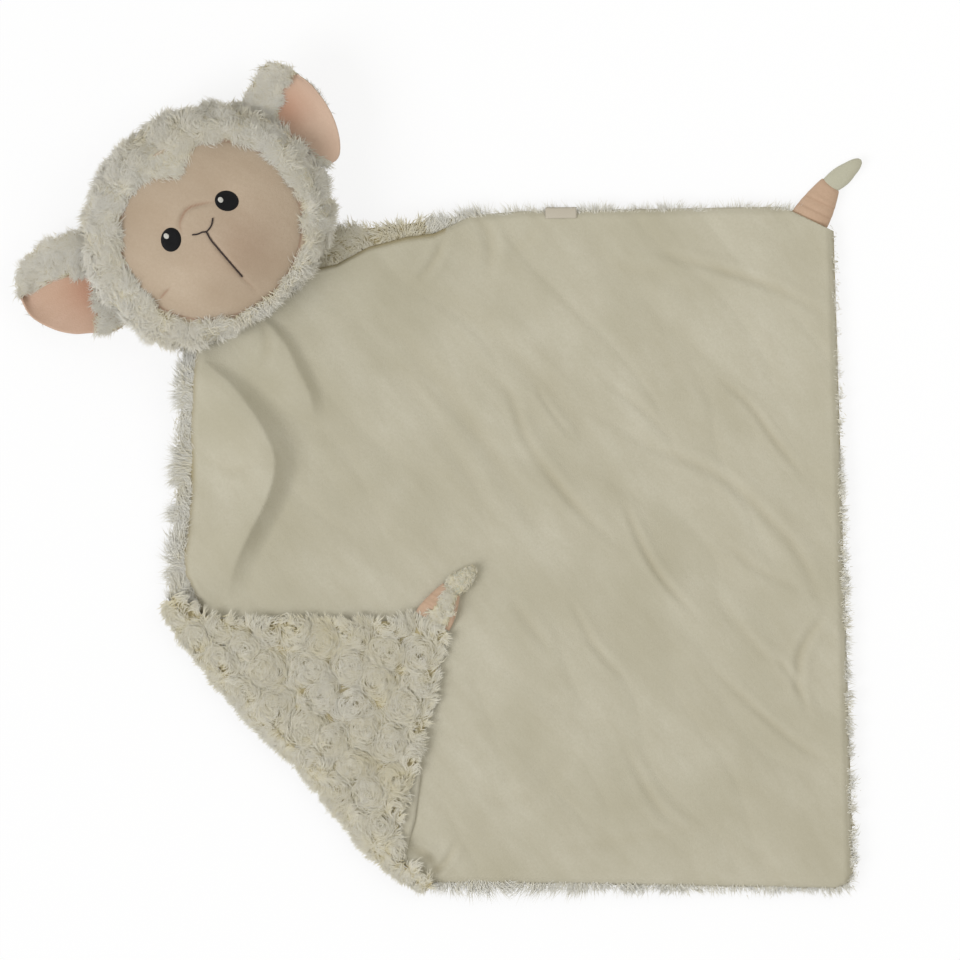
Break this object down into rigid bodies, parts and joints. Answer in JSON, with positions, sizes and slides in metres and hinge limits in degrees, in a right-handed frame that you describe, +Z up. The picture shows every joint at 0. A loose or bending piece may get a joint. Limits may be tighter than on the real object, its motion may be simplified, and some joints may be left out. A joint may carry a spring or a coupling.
{
  "type": "comfort blanket lovey",
  "caption": "Flat comfort blanket with a stuffed lamb head at one corner and small stuffed paws at the corners beside it, velour front, curly plush back, one corner folded over.",
  "frame": {"origin": "on the surface the blanket lies on, under the middle of the blanket square", "axes": "+Z up, out of the blanket's velour side; +X towards the free paw's side edge; +Y towards the edge that runs from the head to the free paw"},
  "size_m": [0.46, 0.4483, 0.0625],
  "materials": {
    "cream_velour": "matte",
    "cream_plush": "matte",
    "peach_velour": "matte",
    "stuffing": "matte",
    "black_thread": "matte",
    "brown_thread": "matte",
    "white_thread": "matte",
    "label_tape": "matte"
  },
  "bodies": {
    "blanket": {"blanket_back": "cream_plush", "blanket_front": "cream_velour", "fold_strip": "cream_plush", "sewn_in_label": "label_tape"},
    "corner": {"corner_back": "cream_plush", "corner_front": "cream_velour"},
    "head": {"head_back": "cream_plush", "head_hood": "cream_plush", "head_face": "peach_velour", "head_stuffing": "stuffing", "eye_left": "black_thread", "eye_right": "black_thread", "eye_glint_left": "white_thread", "eye_glint_right": "white_thread", "nose_stitching": "brown_thread", "mouth_stitching": "brown_thread"},
    "ear_left": {"ear_left_plush": "cream_plush", "ear_left_lining": "peach_velour"},
    "ear_right": {"ear_right_plush": "cream_plush", "ear_right_lining": "peach_velour"},
    "paw_left": {"paw_left_front": "peach_velour", "paw_left_back": "cream_plush", "paw_left_hoof": "cream_velour", "paw_left_stuffing": "stuffing"},
    "paw_right": {"paw_right_front": "peach_velour", "paw_right_back": "cream_plush", "paw_right_hoof": "cream_velour", "paw_right_stuffing": "stuffing"}
  },
  "joints": [
    {"name": "head_nod", "type": "hinge", "parent": "blanket", "child": "head", "pos_m": [-0.12871, 0.13198, 0.0221], "axis": [0.788, 0.6157, 0], "range_deg": [0, 105]},
    {"name": "corner_fold", "type": "hinge", "parent": "blanket", "child": "corner", "pos_m": [-0.11114, -0.10116, 0.00795], "axis": [0.676, -0.7369, 0], "range_deg": [0, 170], "deforming": ["fold_strip"]},
    {"name": "ear_left_flop", "type": "hinge", "parent": "head", "child": "ear_left", "pos_m": [-0.22081, 0.13681, 0.022], "axis": [-0.6157, 0.788, 0], "range_deg": [0, 75]},
    {"name": "ear_right_flop", "type": "hinge", "parent": "head", "child": "ear_right", "pos_m": [-0.11111, 0.22251, 0.022], "axis": [0.6157, -0.788, 0], "range_deg": [0, 40]},
    {"name": "paw_left_flex", "type": "hinge", "parent": "corner", "child": "paw_left", "pos_m": [-0.04101, -0.03576, 0.0159], "axis": [0.8712, -0.491, 0], "range_deg": [0, 45]},
    {"name": "paw_right_flex", "type": "hinge", "parent": "blanket", "child": "paw_right", "pos_m": [0.1644, 0.17881, 0.00795], "axis": [0.9026, -0.4304, 0], "range_deg": [0, 120]}
  ]
}
